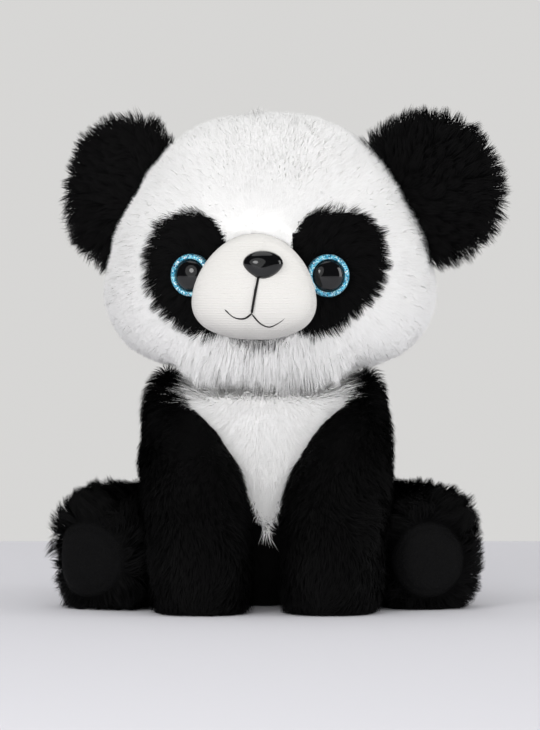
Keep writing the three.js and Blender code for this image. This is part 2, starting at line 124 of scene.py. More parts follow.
LEG = {
    "stations": [
        (24, 14, 29, 24, 22),
        (46, -1, 29, 27, 23),
        (65, -18, 28.5, 29, 24),
        (79, -38, 28, 30.5, 24.5),
        (84.5, -58, 28, 30.5, 24.5),
    ],
    "across": (0, 0, 1),
    "roundness": 2.6,
    "ends": (2.6, 5),
}
EARS = {
    "left": {"chord": (66.5, 3, 206), "lean": 21, "turn": 0},
    "right": {"chord": (-62, 4.5, 207.5), "lean": 9, "turn": 150},
}
HEAD_TURN = -5.5  # degrees about Z
HEAD_PLACE = Matrix.Translation((2, 0, 0)) @ Matrix.Rotation(math.radians(HEAD_TURN), 4, "Z")
EYE = {"x": 34.8, "z": 169.2, "turn": 17, "radius": 10.8, "pupil": 8.2, "rise": 4.4}
NOSE = {"x": 4.6, "z": 176, "pitch": 12}
SOLE = {"half_width": 18, "half_height": 18.8}
SOLES = {"left": {"at": (82.8, -58, 25.5), "turn": 14}, "right": {"at": (-90, -53, 25.5), "turn": -36}}
MOUTH_LINES = [
    [(2.6, 169.6), (1, 161), (-0.8, 151)],
    [(-14.5, 153.4), (-9.5, 149.2), (-4.5, 148.6), (-0.8, 151)],
    [(-0.8, 151), (3.4, 146), (7.6, 144.3), (12, 146.2), (16, 149.2)],
]
MOUTH_RADII = (0.62, 0.45, 0.36)
MUZZLE_SEAM = {"x": 0.8, "z": 160, "slant": 0.14}
SEAT_Z = 0.3  # nothing reaches lower than this, so the pile rests on the floor

# ---------- curves and forms ----------


def unit(v):
    return v / np.maximum(np.linalg.norm(v, axis=-1, keepdims=True), 1e-9)


def spline(points):
    """A centripetal Catmull-Rom curve through points, as a function of 0 to 1."""
    p = np.asarray(points, float)
    p = np.vstack([2 * p[0] - p[1], p, 2 * p[-1] - p[-2]])
    step = np.maximum(np.linalg.norm(np.diff(p, axis=0), axis=1) ** 0.5, 1e-4)

    def at(t):
        t = np.clip(np.atleast_1d(t), 0, 1) * (len(p) - 3)
        i = np.minimum(t.astype(int), len(p) - 4)
        u = (t - i)[:, None]
        a, b, c, d = p[i], p[i + 1], p[i + 2], p[i + 3]
        d0, d1, d2 = step[i][:, None], step[i + 1][:, None], step[i + 2][:, None]
        m1 = ((b - a) / d0 - (c - a) / (d0 + d1) + (c - b) / d1) * d1
        m2 = ((c - b) / d1 - (d - b) / (d1 + d2) + (d - c) / d2) * d1
        return (
            b
            + m1 * u
            + (3 * (c - b) - 2 * m1 - m2) * u**2
            + (2 * (b - c) + m1 + m2) * u**3
        )

    return at


def squared(value, exponent):
    return np.sign(value) * np.abs(value) ** (2 / exponent)


def stuffed(form, rows, segments, inset=0.0, place=None):
    """Vertices and faces of a stuffed form's surface, in mm, moved inwards by inset."""
    stations = np.array(form["stations"], float)
    centre = spline(stations[:, :3])
    size = spline(stations[:, 3:])
    path = centre(np.linspace(0, 1, 201))
    length = np.linalg.norm(np.diff(path, axis=0), axis=1).sum()
    along = -np.cos(np.linspace(0, math.pi, rows + 1))
    turn = np.arange(segments) * 2 * math.pi / segments
    along, turn = [a.ravel() for a in np.meshgrid(along, turn, indexing="ij")]
    exponent = np.where(along < 0, form["ends"][0], form["ends"][1])
    cap = np.maximum(1 - np.abs(along) ** exponent, 0) ** (1 / exponent)
    distance = along * (length / 2 - inset) / length + 0.5
    on = np.clip(distance, 0, 1)
    w_d = size(on)
    tangent = unit(centre(np.minimum(on + 1e-4, 1)) - centre(np.maximum(on - 1e-4, 0)))
    across = np.array(form["across"], float)
    side = unit(across - tangent * (tangent @ across)[:, None])
    front = np.cross(side, tangent)
    sideways = cap * squared(np.cos(turn), form["roundness"])
    forwards = cap * squared(np.sin(turn), form["roundness"])
    widening = 1 + form.get("taper", 0) * forwards
    v = (
        centre(on)
        + tangent * ((distance - on) * length)[:, None]
        + side * ((w_d[:, 0] - inset) * sideways * widening)[:, None]
        + front * ((w_d[:, 1] - inset) * forwards)[:, None]
    )
    v = np.vstack([v[0], v[segments:-segments], v[-1]])
    faces = []
    for j in range(segments):
        k = (j + 1) % segments
        faces.append((0, 1 + k, 1 + j))
        last = 1 + (rows - 2) * segments
        faces.append((len(v) - 1, last + j, last + k))
        for i in range(rows - 2):
            a = 1 + i * segments
            b = a + segments
            faces.append((a + j, a + k, b + k, b + j))
    if place is not None:
        v = v @ np.array(place.to_3x3()).T + np.array(place.translation)
    return v, faces


def mirrored(form, side):
    stations = [(side * x, *rest) for x, *rest in form["stations"]]
    return {**form, "stations": stations}


def ear_place(name):
    ear = EARS[name]
    lean = Matrix.Rotation(math.radians(-SIDES[name] * ear["lean"]), 4, "Y")
    turn = Matrix.Rotation(math.radians(ear["turn"]), 4, "Z")
    return HEAD_PLACE @ Matrix.Translation(ear["chord"]) @ lean @ turn


class Skin:
    """The surface that a body's pile grows from, with what is needed to sample it. In mm."""

    def __init__(self, form, rows, segments, inset, place=None):
        v, faces = stuffed(form, rows, segments, inset, place)
        v[:, 2] = np.maximum(v[:, 2], SEAT_Z)
        self.v, self.faces = v, faces
        tris = [f[:3] for f in faces] + [(f[0], f[2], f[3]) for f in faces if len(f) == 4]
        tris = np.array(tris)
        n = np.cross(v[tris[:, 1]] - v[tris[:, 0]], v[tris[:, 2]] - v[tris[:, 0]])
        centre = v.mean(axis=0)
        if ((v[tris].mean(axis=1) - centre) * n).sum() < 0:
            self.faces = [tuple(reversed(f)) for f in faces]
            tris = tris[:, ::-1]
            n = -n
        self.tris = tris
        self.area = np.linalg.norm(n, axis=1) / 2
        self.normals = np.zeros_like(v)
        for k in range(3):
            np.add.at(self.normals, tris[:, k], n)
        self.normals = unit(self.normals)
        self.tree = BVHTree.FromPolygons(v.tolist(), self.faces)

    def sample(self, per_mm2, rng):
        """Evenly scattered points with their normals."""
        count = int(self.area.sum() * per_mm2 * 1.9)
        pick = rng.choice(len(self.tris), count, p=self.area / self.area.sum())
        a, b = rng.random((2, count))
        over = a + b > 1
        a[over], b[over] = 1 - a[over], 1 - b[over]
        weights = np.stack([1 - a - b, a, b], 1)[..., None]
        points = (self.v[self.tris[pick]] * weights).sum(axis=1)
        normals = unit((self.normals[self.tris[pick]] * weights).sum(axis=1))
        cells = np.floor(points / (0.93 / per_mm2**0.5)).astype(int)
        keep = np.unique(cells, axis=0, return_index=True)[1]
        keep.sort()
        return points[keep], normals[keep]

    def depth(self, points):
        """How far each point is inside this form, negative outside."""
        out = np.empty(len(points))
        for i, p in enumerate(points.tolist()):
            near, normal, _, distance = self.tree.find_nearest(p)
            inside = (Vector(p) - near).dot(normal) < 0
            out[i] = distance if inside else -distance
        return out


# ---------- smooth noise, from waves in a few directions ----------


def waves(points, scale, seed):
    """Three columns of smooth noise, of unit size and with features of about scale mm."""
    rng = np.random.default_rng(seed)
    total = np.zeros((len(points), 3))
    for octave, weight in ((1, 1.0), (2.1, 0.5), (4.3, 0.25)):
        for _ in range(5):
            k = unit(rng.normal(size=3)) * 2 * math.pi * octave / (scale * 2)
            phase = rng.random(3) * 2 * math.pi
            total += weight * np.sin((points @ k)[:, None] + phase)
    return total / 2.6


# ---------- pile ----------

# Length, width and clump are in mm, and lean in degrees from the surface's normal at the root and at the tip.
# pull is how far the strands of a clump close up. mess and uneven are disorder, from strand to strand and in
# waves. flat is how far the shading follows the surface, and level squeezes the shading's slope below and
# above the horizontal, because thick white pile scatters light.
PILE = {
    "white": {
        "length": 5.8, "width": 0.27, "lean": (12, 44), "clump": 4.5, "pull": 0.2,
        "mess": 0.6, "flat": 1.0, "uneven": 0.04, "level": (0.3, 1),
    },
    "chest": {
        "length": 9.5, "width": 0.27, "lean": (30, 66), "clump": 6.0, "pull": 0.4,
        "mess": 0.5, "flat": 0.99, "uneven": 0.08, "level": (0.4, 0.3),
    },
    "patch": {
        "length": 8.5, "width": 0.30, "lean": (34, 66), "clump": 5.0, "pull": 0.7,
        "mess": 0.45, "flat": 0.7, "uneven": 0.14, "level": (1, 1),
    },
    "ear": {
        "length": 10.5, "width": 0.34, "lean": (28, 58), "clump": 5.5, "pull": 0.88,
        "mess": 0.45, "flat": 0.7, "uneven": 0.16, "level": (1, 1),
    },
    "arm": {
        "length": 8.0, "width": 0.32, "lean": (46, 84), "clump": 5.0, "pull": 0.5,
        "mess": 0.35, "flat": 0.75, "uneven": 0.14, "level": (1, 1),
    },
    "leg": {
        "length": 11.0, "width": 0.34, "lean": (28, 60), "clump": 6.5, "pull": 0.85,
        "mess": 0.5, "flat": 0.7, "uneven": 0.18, "level": (1, 1),
    },
}
DENSITY = {  # strands per square mm, before thinning
    "head": 3.2, "torso": 2.4, "neck": 4.0, "tail": 1.1, "ear": 1.9, "arm": 1.8, "leg": 1.8,
}
BACK_SHARE = 0.62  # of the head's density, behind the ears
BODY_SHARE = 0.75  # of the torso's density, outside the chest
TAPER = (1.0, 0.8)  # a strand's width at its root and its middle; it ends in a point
SEGMENTS = len(TAPER)
TWIST = math.radians(110)  # the range over which a strand's flat side turns


def clump_leads(points, size, rng):
    """For each strand, the strand that leads its clump. Clumps are about size mm across."""
    cells = np.floor(points / size + rng.random(3)).astype(int)
    leads = np.unique(cells, axis=0, return_index=True)[1]
    tree = KDTree(len(leads))
    for i, lead in enumerate(leads):
        tree.insert(points[lead], i)
    tree.balance()
    return leads[[tree.find(p)[1] for p in points.tolist()]]


def grow(points, normals, flow, pile, rng, scale, lower):
    """The middle line of each strand, the side it spreads to, and its shading normal."""
    n = normals
    swirl = waves(points, 22, 11) * pile["uneven"] * 3
    comb = flow + (swirl + rng.normal(size=points.shape) * pile["mess"] * 0.55)
    comb = unit(comb - n * (comb * n).sum(axis=1, keepdims=True))
    length = pile["length"] * (0.8 + 0.35 * rng.random(len(points)))
    length = length * (1 + 0.12 * waves(points, 14, 5)[:, 0]) * scale
    start, end = np.radians(pile["lean"])
    lift = pile["uneven"] * waves(points, 18, 7)[:, 0] + 0.12 * rng.normal(size=len(points)) + lower
    line = [points]
    for k in range(SEGMENTS):
        t = (k + 0.5) / SEGMENTS
        a = np.clip(start + (end - start) * t + lift, 0.05, 1.52)[:, None]
        line.append(line[-1] + (n * np.cos(a) + comb * np.sin(a)) * (length / SEGMENTS)[:, None])
    line = np.stack(line, 1)

    lead = clump_leads(points, pile["clump"], rng)
    near = np.exp(-(((points - points[lead]) ** 2).sum(axis=1)) / (pile["clump"] * 1.3) ** 2)
    same = np.clip((n * n[lead]).sum(axis=1), 0, 1) ** 2
    pull = pile["pull"] * near * same * (0.6 + 0.4 * rng.random(len(points)))
    for k in range(1, SEGMENTS + 1):
        share = (pull * (k / SEGMENTS) ** 1.4)[:, None]
        line[:, k] += (line[lead, k] - line[:, k]) * share
    line[..., 2] = np.maximum(line[..., 2], SEAT_Z)

    along = unit(line[:, -1] - line[:, 0])
    level = unit(np.cross(n, along))
    twist = (rng.random(len(points)) - 0.5) * TWIST
    side = level * np.cos(twist)[:, None] + np.cross(along, level) * np.sin(twist)[:, None]
    facing = np.cross(along, side)
    shade = unit(n * pile["flat"] + facing * (1 - pile["flat"]))
    below, above = pile["level"]
    shade[:, 2] *= np.where(shade[:, 2] < 0, below, above)
    return line, side, unit(shade)


def blades(line, side, shade, width, tints):
    """Vertices, faces, normals, heights and tints of tapering blades along the strands' lines."""
    count = len(line)
    rows = []
    for k, share in enumerate(TAPER):
        half = side * (width * share / 2)[:, None]
        rows += [line[:, k] - half, line[:, k] + half]
    rows.append(line[:, -1])
    v = np.stack(rows, 1)
    per = v.shape[1]
    base = np.arange(count)[:, None] * per
    quads = np.concatenate([base + [2 * k + 1, 2 * k, 2 * k + 2, 2 * k + 3] for k in range(SEGMENTS - 1)])
    tips = base + [per - 2, per - 3, per - 1]
    height = np.tile(np.repeat(np.arange(SEGMENTS + 1) / SEGMENTS, 2)[:per], count)
    return v.reshape(-1, 3), quads, tips, np.repeat(shade, per, axis=0), height, np.repeat(tints, per)


def mesh_of(name, v, polygons, normals=None, **attributes):
    """A mesh object in metres from arrays of faces, each of one size, with point attributes."""
    mesh = bpy.data.meshes.new(name)
    sizes = np.concatenate([np.full(len(p), p.shape[1]) for p in polygons])
    loops = np.concatenate([p.ravel() for p in polygons]).astype(np.int32)
    mesh.vertices.add(len(v))
    mesh.vertices.foreach_set("co", (v * MM).astype(np.float32).ravel())
    mesh.loops.add(len(loops))
    mesh.loops.foreach_set("vertex_index", loops)
    mesh.polygons.add(len(sizes))
    mesh.polygons.foreach_set("loop_start", (np.cumsum(sizes) - sizes).astype(np.int32))
    mesh.update(calc_edges=True)
    mesh.validate()
    mesh.polygons.foreach_set("use_smooth", np.ones(len(mesh.polygons), bool))
    for key, values in attributes.items():
        layer = mesh.attributes.new(key, "FLOAT", "POINT")
        layer.data.foreach_set("value", values.astype(np.float32))
    if normals is not None:
        mesh.normals_split_custom_set_from_vertices(normals)
    piece = bpy.data.objects.new(name, mesh)
    bpy.context.scene.collection.objects.link(piece)
    return piece


def bake_cells(mesh, islands):
    """A texture layout with one small cell for each island: islands is each polygon's cell."""
    count = int(islands.max()) + 1
    wide = math.ceil(count**0.5)
    corner = np.array([(0.15, 0.15), (0.85, 0.15), (0.85, 0.85), (0.15, 0.85)])
    starts = np.empty(len(mesh.polygons), np.int32)
    totals = np.empty(len(mesh.polygons), np.int32)
    mesh.polygons.foreach_get("loop_start", starts)
    mesh.polygons.foreach_get("loop_total", totals)
    owner = np.repeat(np.arange(len(totals)), totals)
    within = np.arange(len(owner)) - starts[owner]
    cell = islands[owner]
    uv = (np.stack([cell % wide, cell // wide], 1) + corner[within % 4]) / wide
    layer = mesh.uv_layers.new(name="OFBake")
    layer.data.foreach_set("uv", uv.astype(np.float32).ravel())


# ---------- materials ----------


def link(tree, a, b):
    tree.links.new(a, b)


def node(tree, kind, **inputs):
    made = tree.nodes.new(kind)
    for key, value in inputs.items():
        made.inputs[key.replace("_", " ")].default_value = value
    return made


def place_in_mm(tree):
    """The point on the object, in mm."""
    where = tree.nodes.new("ShaderNodeTexCoord")
    scale = tree.nodes.new("ShaderNodeVectorMath")
    scale.operation = "SCALE"
    scale.inputs["Scale"].default_value = 1000
    link(tree, where.outputs["Object"], scale.inputs[0])
    return scale.outputs["Vector"]


def material(name, colour, roughness=0.9, sheen=0.0, coat=0.0, specular=0.5):
    made = bpy.data.materials.new(name)
    made.use_nodes = True
    shader = made.node_tree.nodes["Principled BSDF"]
    shader.inputs["Base Color"].default_value = (*colour, 1)
    shader.inputs["Roughness"].default_value = roughness
    shader.inputs["Sheen Weight"].default_value = sheen
    shader.inputs["Coat Weight"].default_value = coat
    shader.inputs["Specular IOR Level"].default_value = specular
    return made, made.node_tree, shader


def mixed_colour(tree, first, second, factor):
    """A colour between two, by a socket's value."""
    mix = tree.nodes.new("ShaderNodeMix")
    mix.data_type = "RGBA"
    mix.inputs["A"].default_value = (*first, 1)
    mix.inputs["B"].default_value = (*second, 1)
    link(tree, factor, mix.inputs["Factor"])
    return mix.outputs["Result"]


def fur_material(name, root, tip, roughness, specular):
    """Pile whose colour darkens from tip to root, a painted shade deep in the pile, and differs a little from
    strand to strand.
    """
    made, tree, shader = material(name, tip, roughness, specular=specular)
    height = tree.nodes.new("ShaderNodeAttribute")
    height.attribute_name = "height"
    tint = tree.nodes.new("ShaderNodeAttribute")
    tint.attribute_name = "tint"
    vary = tree.nodes.new("ShaderNodeHueSaturation")
    # mixing from the root colour to the tip colour by height paints shade towards the roots
    link(tree, mixed_colour(tree, root, tip, height.outputs["Fac"]), vary.inputs["Color"])
    link(tree, tint.outputs["Fac"], vary.inputs["Value"])
    link(tree, vary.outputs["Color"], shader.inputs["Base Color"])
    return made


# the root colours, darker than the tips, are painted shade between the strands
WHITE = fur_material("white_pile", (0.955, 0.95, 0.943), (0.972, 0.97, 0.965), 0.95, 0.0)
BLACK = fur_material("black_pile", (0.0008, 0.0008, 0.0009), (0.0042, 0.0041, 0.0042), 0.6, 0.085)

# ---------- panels ----------


class Panels:
    """Which CAD panel of a body is nearest to a point."""

    def __init__(self, *nodes):
        self.nodes = nodes
        v, polygons, self.owner = [], [], []
        for i, node in enumerate(nodes):
            mesh = frame["nodes"][node].data
            first = len(v)
            v += [(p.co / MM)[:] for p in mesh.vertices]
            polygons += [[first + k for k in f.vertices] for f in mesh.polygons]
            self.owner += [i] * len(mesh.polygons)
        self.tree = BVHTree.FromPolygons(v, polygons)

    def nearest(self, points):
        return np.array([self.owner[self.tree.find_nearest(p)[2]] for p in points.tolist()])


def plush(name, body, node, skin, keep_faces, strands, colour, width, seed):
    """One panel: its backing and the pile on it, as one piece that stands for the CAD panel."""
    line, side, shade = strands
    rng = np.random.default_rng(seed)
    tints = 1 + rng.normal(size=len(line)) * 0.03
    widths = width * (0.75 + 0.5 * rng.random(len(line)))
    v, quads, tips, normals, height, tint = blades(line, side, shade, widths, tints)
    faces = np.array([f if len(f) == 4 else (*f, f[2]) for f in (skin.faces[i] for i in keep_faces)])
    is_tri = faces[:, 2] == faces[:, 3] if len(faces) else np.zeros(0, bool)
    used, index = np.unique(faces, return_inverse=True) if len(faces) else (np.zeros(0, int), faces)
    index = index.reshape(faces.shape) + len(v)
    polygons = [quads, tips, index[~is_tri], index[is_tri][:, :3]]
    v = np.vstack([v, skin.v[used]])
    normals = np.vstack([normals, skin.normals[used]])
    # the backing takes the darkened colour near the roots: painted shade under the pile
    height = np.concatenate([height, np.full(len(used), 0.15)])
    tint = np.concatenate([tint, np.ones(len(used))])
    piece = mesh_of(name, v, [p for p in polygons if len(p)], normals, height=height, tint=tint)
    strand_of_quads = np.tile(np.arange(len(line)), len(quads) // len(line))
    islands = np.concatenate([strand_of_quads, np.arange(len(line)), len(line) + np.arange(len(faces))])
    bake_cells(piece.data, islands)
    piece.data.materials.append(colour)
    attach(piece, body)
    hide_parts(node)


def even(node, points, normals):
    """Pile of its plain length and lean."""
    return 1.0, 0.0


def cover(body, skin, nodes, pile_of, flow_of, density, hidden, seed, shape_of=even, thin=None):
    """All the panels of a body. pile_of gives each node's pile, colour and slot by its name, and flow_of the
    way its pile is combed. shape_of gives how many times longer the pile is and how much flatter it lies, in
    radians, and thin the share of the strands that a panel keeps."""
    rng = np.random.default_rng(seed)
    panels = Panels(*nodes)
    points, normals = skin.sample(density, rng)
    show = ~hidden(points, normals)
    points, normals = points[show], normals[show]
    owner = panels.nearest(points)
    centres = np.array([np.mean(skin.v[list(f)], axis=0) for f in skin.faces])
    face_owner = panels.nearest(centres)
    for i, node in enumerate(nodes):
        mine = owner == i
        if thin:
            mine &= rng.random(len(points)) < thin(node)
        pile, colour, slot = pile_of(node)
        here = (node, points[mine], normals[mine])
        scale, lower = shape_of(*here)
        strands = grow(points[mine], normals[mine], flow_of(*here), PILE[pile], rng, scale, lower)
        faces = np.flatnonzero(face_owner == i)
        plush(
            node.replace("panel", "plush") + "_pile", body, node, skin, faces, strands, colour,
            PILE[pile]["width"], seed + i,
        )


# ---------- the surfaces that the pile grows from ----------

INSET = 1.5  # the pile's roots lie this far inside the middle of the pile
skins = {
    "torso": Skin(TORSO, 60, 96, INSET),
    "head": Skin(HEAD, 80, 140, INSET, HEAD_PLACE),
    "tail": Skin(TAIL, 20, 28, INSET),
    "neck": Skin(NECK, 16, 60, INSET),
    "muzzle": Skin(MUZZLE, 120, 160, 0, HEAD_PLACE),
}
head_middle = Skin(HEAD, 60, 100, 0, HEAD_PLACE)  # the middle of the head's pile, which the eyes sit on
for name, side in SIDES.items():
    skins[f"ear_{name}"] = Skin(EAR, 50, 80, INSET, ear_place(name))
    skins[f"arm_{name}"] = Skin(mirrored(ARM, side), 70, 60, INSET)
    skins[f"leg_{name}"] = Skin(mirrored(LEG, side), 60, 64, INSET)


def buried(points, *names, by=4.0):
    """True where a point is deeper than by inside any of the named forms."""
    deep = np.zeros(len(points), bool)
    for name in names:
        skin = skins[name]
        low, high = skin.v.min(axis=0), skin.v.max(axis=0)
        close = np.all((points > low) & (points < high), axis=1) & ~deep
        if close.any():
            deep[np.flatnonzero(close)[skin.depth(points[close]) > by]] = True
    return deep


def towards(direction):
    d = np.array(direction, float)
    return lambda node, points, normals: np.tile(d / np.linalg.norm(d), (len(points), 1))


def away_from(centre):
    return lambda node, points, normals: unit(points - np.array(centre, float))


# ---------- the head: its layout is in head-local mm, before the head is turned ----------


def local_to(place, points):
    """The points in a place's own coordinates."""
    back = np.array(place.inverted())
    return points @ back[:3, :3].T + back[:3, 3]


def on_surface(skin, x, z):
    """Where the front of a form on the head lies at head-local x and z, in world mm."""
    start = HEAD_PLACE @ Vector((x, -300, z))
    ray = HEAD_PLACE.to_3x3() @ Vector((0, 1, 0))
    return skin.tree.ray_cast(start, ray)[0]


def eye_place(side):
    point = on_surface(head_middle, side * EYE["x"], EYE["z"])
    turn = Matrix.Rotation(math.radians(side * EYE["turn"] + HEAD_TURN), 4, "Z")
    return Matrix.Translation(point) @ turn @ Matrix.Rotation(math.pi, 4, "X")


EYES = {name: eye_place(side) for name, side in SIDES.items()}


def eye_distance(points):
    """Distance from the nearer eye's axis, in front of the face."""
    out = np.full(len(points), 1e3)
    for place in EYES.values():
        local = local_to(place, points)
        r = np.hypot(local[:, 0], local[:, 2])
        out = np.where(local[:, 1] > -12, np.minimum(out, r), out)
    return out


def muzzle_gap(points):
    """Distance from the muzzle."""
    return np.maximum(-skins["muzzle"].depth(points), 0)


def head_hidden(points, normals):
    """Where no pile grows: inside an eye's ring, the muzzle, the ears and the torso."""
    return (
        (eye_distance(points) < EYE["radius"] - 0.3)
        | buried(points, "muzzle", by=0.2)
        | buried(points, "ear_left", "ear_right", "torso", by=3)
    )


FACE_MIDDLE = (0, -40, 175)  # the head's pile is combed away from here
MUZZLE_MIDDLE = (0, -60, 164)
CROWN_TUFT = {"at": (-5, -4, 246), "size": 4}  # where the white pile stands out, and how widely
BROW_TUFT = {"at": (-20, -57, 190), "size": 4}


def close_to(points, centre, size):
    """1 at the centre, falling to nothing at about twice the size from it."""
    return np.exp(-((np.linalg.norm(points - centre, axis=1) / size) ** 2))


def head_flow(node, points, normals):
    """Outwards over the head and round each eye, and inwards over the muzzle's edge."""
    local = local_to(HEAD_PLACE, points)
    comb = unit(local - np.array(FACE_MIDDLE, float))
    comb[:, 2] -= 0.35
    for side in SIDES.values():
        eye = np.array([side * EYE["x"], -57, EYE["z"]])
        comb += unit(local - eye) * 2.2 * close_to(local, eye, 16)[:, None]
    if not node.startswith("eye_patch"):
        above_and_below = np.abs(local[:, 2] - 172) > 12
        over = np.exp(-((muzzle_gap(points) / 6) ** 2)) * above_and_below
        comb += unit(np.array(MUZZLE_MIDDLE, float) - local) * 3.2 * over[:, None]
        comb += np.array([-1.0, -0.3, -0.35]) * 4 * close_to(local, BROW_TUFT["at"], 5)[:, None]
    return comb @ np.array(HEAD_PLACE.to_3x3()).T


def head_pile(node):
    if node.startswith("eye_patch"):
        return "patch", BLACK, "black_plush"
    return "white", WHITE, "white_plush"


# the chin's hanging pile
BEARD = {"half_width": 46, "back_y": -8, "soft": 14, "longer": 1.85, "uneven": 0.18}


def head_shape(node, points, normals):
    """The pile hangs long under the chin, stands out in two tufts, and is short round the muzzle and eyes."""
    under = np.clip((-normals[:, 2] - 0.35) / 0.5, 0, 1)
    gap = muzzle_gap(points)
    beard = under * np.clip((BEARD["back_y"] - points[:, 1]) / BEARD["soft"], 0, 1)
    beard *= np.clip((BEARD["half_width"] - np.abs(points[:, 0])) / BEARD["soft"], 0, 1)
    beard *= np.clip((gap - 2) / 9, 0.15, 1)
    ragged = 1 + BEARD["uneven"] * waves(points, 2, 31)[:, 0]
    scale = 1 - 0.15 * under + BEARD["longer"] * beard * ragged
    if node.startswith("eye_patch"):
        near = np.exp(-(((eye_distance(points) - 10) / 5) ** 2))
        return scale * (1 - 0.35 * near), 0.25 * near
    local = local_to(HEAD_PLACE, points)
    tuft = sum(close_to(local, place["at"], place["size"]) for place in (CROWN_TUFT, BROW_TUFT))
    ruff = np.exp(-(((gap - 1.5) / 5) ** 2))
    lower = -0.3 * under - 0.3 * tuft - 0.1 * ruff - 0.25 * beard
    return scale * (1 + 0.45 * tuft) * (1 - 0.25 * ruff), lower


HEAD_NODES = [f"{part}_{name}" for part in ("face_panel", "head_back", "eye_patch") for name in SIDES]
cover(
    "head", skins["head"], HEAD_NODES, head_pile, head_flow, DENSITY["head"], head_hidden, 100, head_shape,
    lambda node: BACK_SHARE if node.startswith("head_back") else 1,
)

# ---------- the torso, tail and neck ----------


def torso_pile(node):
    if node.startswith("chest"):
        return "chest", WHITE, "white_plush"
    if node == "lower_back_panel":
        return "white", WHITE, "white_plush"
    return "leg" if node.startswith("seat") else "arm", BLACK, "black_plush"


def torso_hidden(points, normals):
    joined = ("arm_left", "arm_right", "leg_left", "leg_right", "head")
    return buried(points, *joined, by=5) | (points[:, 2] < 1.0)


def chest_reach(points):
    """Half the chest's width at each point's height."""
    return np.interp(points[:, 2], [36, 70, 90, 110], [4, 16, 30, 40])


def chest_edge(points, soft):
    """1 at the chest's edge, falling to nothing over the soft mm inside it."""
    return np.clip((np.abs(points[:, 0]) - chest_reach(points) + soft) / soft, 0, 1)


def torso_flow(node, points, normals):
    """Downwards, but outwards over the arms at the chest's edge and forwards under the chin."""
    comb = np.tile([0.0, -0.1, -1.0], (len(points), 1))
    comb[:, 0] += points[:, 0] * 0.01
    if node.startswith("chest"):
        edge = chest_edge(points, 16)
        seam = np.exp(-((points[:, 0] / 3.0) ** 2))
        under_chin = np.clip((points[:, 2] - 104) / 6, 0, 1)
        wide = np.clip((chest_reach(points) - 12) / 14, 0.15, 1)
        comb[:, 0] += np.sign(points[:, 0]) * (1.2 * edge * wide - 0.2 * seam)
        comb[:, 2] += 0.45 * edge * wide
        comb[:, 1] -= 1.5 * under_chin
    return comb


def torso_shape(node, points, normals):
    """Longer and more upright pile at the top, and ragged pile at the chest's edge."""
    top = np.clip((points[:, 2] - 100) / 8, 0, 1)
    if node.startswith("chest"):
        edge = chest_edge(points, 14)
        ragged = 1 + 0.8 * waves(points, 3, 17)[:, 0]
        return 1 + 0.6 * np.maximum(edge * ragged, 0.8 * top), -0.4 * edge - 0.15 * top
    return 1 + 0.2 * top, -0.3 * top


TORSO_NODES = [
    "chest_panel_left", "chest_panel_right", "flank_panel_left", "flank_panel_right",
    "back_yoke", "lower_back_panel", "seat_panel",
]
cover(
    "torso", skins["torso"], TORSO_NODES, torso_pile, torso_flow, DENSITY["torso"], torso_hidden, 200,
    torso_shape, lambda node: 1 if node.startswith("chest") else BODY_SHARE,
)
cover(
    "torso", skins["tail"], ["tail_cover"], lambda node: ("white", WHITE, "white_plush"),
    towards((0, 1, -0.4)), DENSITY["tail"], lambda p, n: buried(p, "torso", by=1), 230,
)
cover(
    "neck", skins["neck"], ["neck_gusset"], lambda node: ("chest", WHITE, "white_plush"),
    away_from((0, 2, 112)), DENSITY["neck"], lambda p, n: p[:, 2] < 115, 260,
    lambda node, p, n: (1.5, -0.35),
)

# ---------- the ears, arms and legs ----------


def arm_shape(node, points, normals):
    """Short pile on the inner top of the arm, which the chest's pile covers."""
    inner = np.clip((48 - np.abs(points[:, 0])) / 8, 0, 1)
    high = np.clip((points[:, 2] - 72) / 12, 0, 1)
    top = np.clip((points[:, 2] - 104) / 8, 0, 1)
    return 1 - 0.6 * inner * high + 0.05 * top, 0.35 * inner * high - 0.35 * top


def sole_frame(name):
    """The middle of a sole, its sideways axis, and the way that it faces."""
    turn = Matrix.Rotation(math.radians(SOLES[name]["turn"]), 3, "Z")
    across, ahead = turn @ Vector((1, 0, 0)), turn @ Vector((0, -1, 0))
    return np.array(SOLES[name]["at"], float), np.array(across), np.array(ahead)


def leg_hidden(name):
    at, across, ahead = sole_frame(name)

    def hidden(points, normals):
        local = points - at
        u = (local @ across) / SOLE["half_width"]
        w = local[:, 2] / SOLE["half_height"]
        on_sole = (u**2 + w**2 < 1) & (local @ ahead > -12)
        return buried(points, "torso", f"arm_{name}", by=5) | (points[:, 2] < 0.8) | on_sole

    return hidden


def leg_flow(name):
    at, across, ahead = sole_frame(name)

    def flow(node, points, normals):
        """Forwards along the leg, and outwards round the sole."""
        local = points - at
        radial = np.outer(local @ across, across) + np.outer(local[:, 2], UP)
        forward = np.tile(ahead, (len(points), 1))
        near = np.exp(-((np.minimum(local @ ahead + 6, 0) / 14) ** 2))[:, None]
        return forward * (1 - near * 0.75) + unit(radial) * near

    return flow


for name, side in SIDES.items():
    ear = ear_place(name)
    ear_root = np.array(ear.translation) - np.array(ear.col[0][:3]) * 10
    cover(
        f"ear_{name}", skins[f"ear_{name}"], [f"ear_front_{name}", f"ear_back_{name}"],
        lambda node: ("ear", BLACK, "black_plush"), away_from(ear_root), DENSITY["ear"],
        lambda p, n: buried(p, "head", by=4), 300 + side,
    )
    cover(
        f"arm_{name}", skins[f"arm_{name}"], [f"arm_outer_{name}", f"arm_inner_{name}"],
        lambda node: ("arm", BLACK, "black_plush"), towards((0.05 * side, -0.35, -1)), DENSITY["arm"],
        lambda p, n: buried(p, "torso", "head", by=4) | (p[:, 2] < 0.8), 400 + side, arm_shape,
    )
    cover(
        f"leg_{name}", skins[f"leg_{name}"], [f"leg_upper_{name}", f"leg_lower_{name}"],
        lambda node: ("leg", BLACK, "black_plush"), leg_flow(name), DENSITY["leg"],
        leg_hidden(name), 500 + side,
    )

# ---------- moulded and smooth pieces ----------


